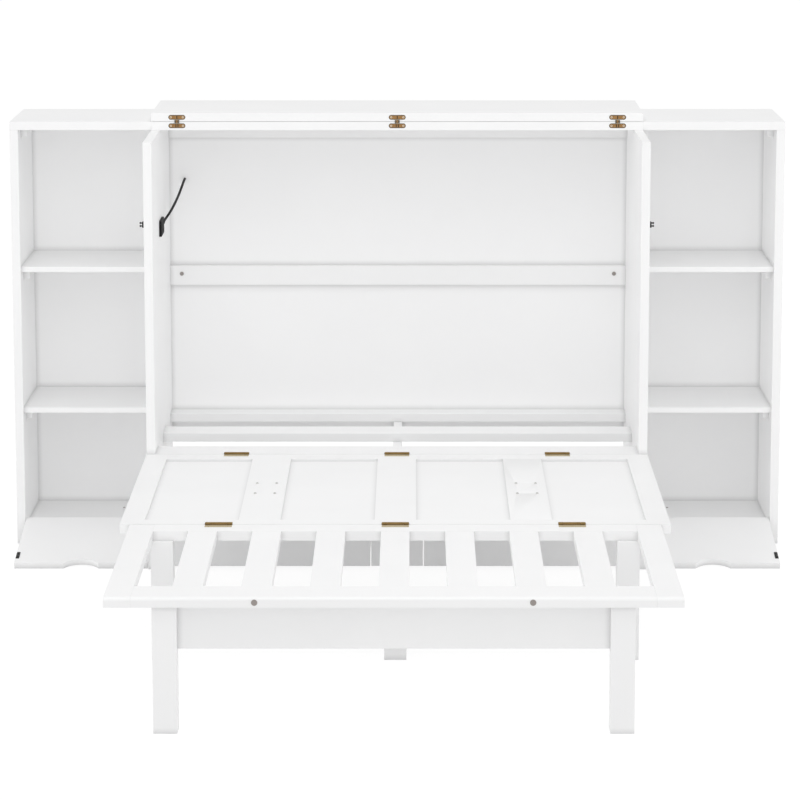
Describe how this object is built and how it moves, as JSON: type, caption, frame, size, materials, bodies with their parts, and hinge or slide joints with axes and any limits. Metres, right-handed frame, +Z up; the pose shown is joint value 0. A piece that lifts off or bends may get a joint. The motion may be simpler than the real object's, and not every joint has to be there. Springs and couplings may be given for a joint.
{
  "type": "wall bed",
  "caption": "Cabinet wall bed between open shelf towers: lid laid back, framed front folded down, slatted section unfolded onto its legs, with drawers in the base.",
  "frame": {"origin": "on the floor, below the middle of the opened bed's bounding box", "axes": "+X to the right as seen from the front, the bed opens towards -Y, +Z up"},
  "size_m": [2.288, 2.367, 1.301],
  "materials": {
    "white_board": "white lacquered board, satin",
    "white_back": "white faced thin board, matte",
    "brass": "satin brass, antique tone",
    "nickel": "satin nickel",
    "grey_plastic": "grey, matte",
    "black_plastic": "black, fine matte",
    "black_metal": "black, satin",
    "lead_black": "black sheath, matte"
  },
  "bodies": {
    "cabinet": {"centre_side_left": "white_board", "centre_side_right": "white_board", "rear_top_board": "white_board", "centre_back_panel": "white_back", "back_top_rail": "white_board", "back_mid_rail": "white_board", "mid_rail_screws": "grey_plastic", "bed_board_back": "white_board", "bed_board_middle": "white_board", "bed_board_front": "white_board", "centre_partition": "white_board", "base_centre_panel": "white_board", "runner_packers": "white_board", "drawer_runners": "nickel", "lid_hinges_fixed": "brass", "panel_hinges_fixed": "brass", "outlet_strip": "black_plastic", "outlet_lead": "lead_black", "wing_stud_plates": "black_plastic", "tower_outer_side_left": "white_board", "tower_outer_side_right": "white_board", "tower_top_left": "white_board", "tower_top_right": "white_board", "tower_bottom_left": "white_board", "tower_bottom_right": "white_board", "tower_back_left": "white_back", "tower_back_right": "white_back", "tower_shelves_left": "white_board", "tower_shelves_right": "white_board", "tower_kick_boards": "white_board", "shelf_supports": "white_board", "flap_pins": "nickel"},
    "lid": {"lid_board": "white_board", "lid_hinges_moving": "brass"},
    "front_panel": {"front_panel_stiles": "white_board", "front_panel_lower_rail": "white_board", "front_panel_upper_rail": "white_board", "front_panel_infills": "white_board", "front_handles": "nickel", "front_panel_hinges": "brass"},
    "bed_panel": {"bed_side_rails": "white_board", "bed_back_rail": "white_board", "bed_front_rail": "white_board", "bed_slats": "white_board", "bed_bolts": "grey_plastic", "bed_hinges": "brass", "front_legs": "white_board", "rear_legs": "white_board", "front_leg_apron": "white_board"},
    "flap_left": {"flap_left": "white_board", "flap_catch_left": "black_metal"},
    "flap_right": {"flap_right": "white_board", "flap_catch_right": "black_metal"},
    "drawer_left": {"drawer_front_left": "white_board", "drawer_box_left": "white_board"},
    "drawer_right": {"drawer_front_right": "white_board", "drawer_box_right": "white_board"}
  },
  "joints": [
    {"name": "lid_hinge", "type": "hinge", "parent": "cabinet", "child": "lid", "pos_m": [0, 0.81, 1.2755], "axis": [1, 0, 0], "range_deg": [0, 180]},
    {"name": "front_panel_hinge", "type": "hinge", "parent": "cabinet", "child": "front_panel", "pos_m": [0, 0.4865, 0.345], "axis": [-1, 0, 0], "range_deg": [0, 90]},
    {"name": "bed_panel_hinge", "type": "hinge", "parent": "front_panel", "child": "bed_panel", "pos_m": [0, -0.4105, 0.345], "axis": [-1, 0, 0], "range_deg": [0, 180]},
    {"name": "flap_left_hinge", "type": "hinge", "parent": "cabinet", "child": "flap_left", "pos_m": [-0.922, 0.8195, 0.0665], "axis": [-1, 0, 0], "range_deg": [0, 100.07]},
    {"name": "flap_right_hinge", "type": "hinge", "parent": "cabinet", "child": "flap_right", "pos_m": [0.922, 0.8195, 0.0665], "axis": [-1, 0, 0], "range_deg": [0, 100.07]},
    {"name": "drawer_left_slide", "type": "slide", "parent": "cabinet", "child": "drawer_left", "axis": [0, -1, 0], "range_m": [0, 0.35]},
    {"name": "drawer_right_slide", "type": "slide", "parent": "cabinet", "child": "drawer_right", "axis": [0, -1, 0], "range_m": [0, 0.35]}
  ]
}
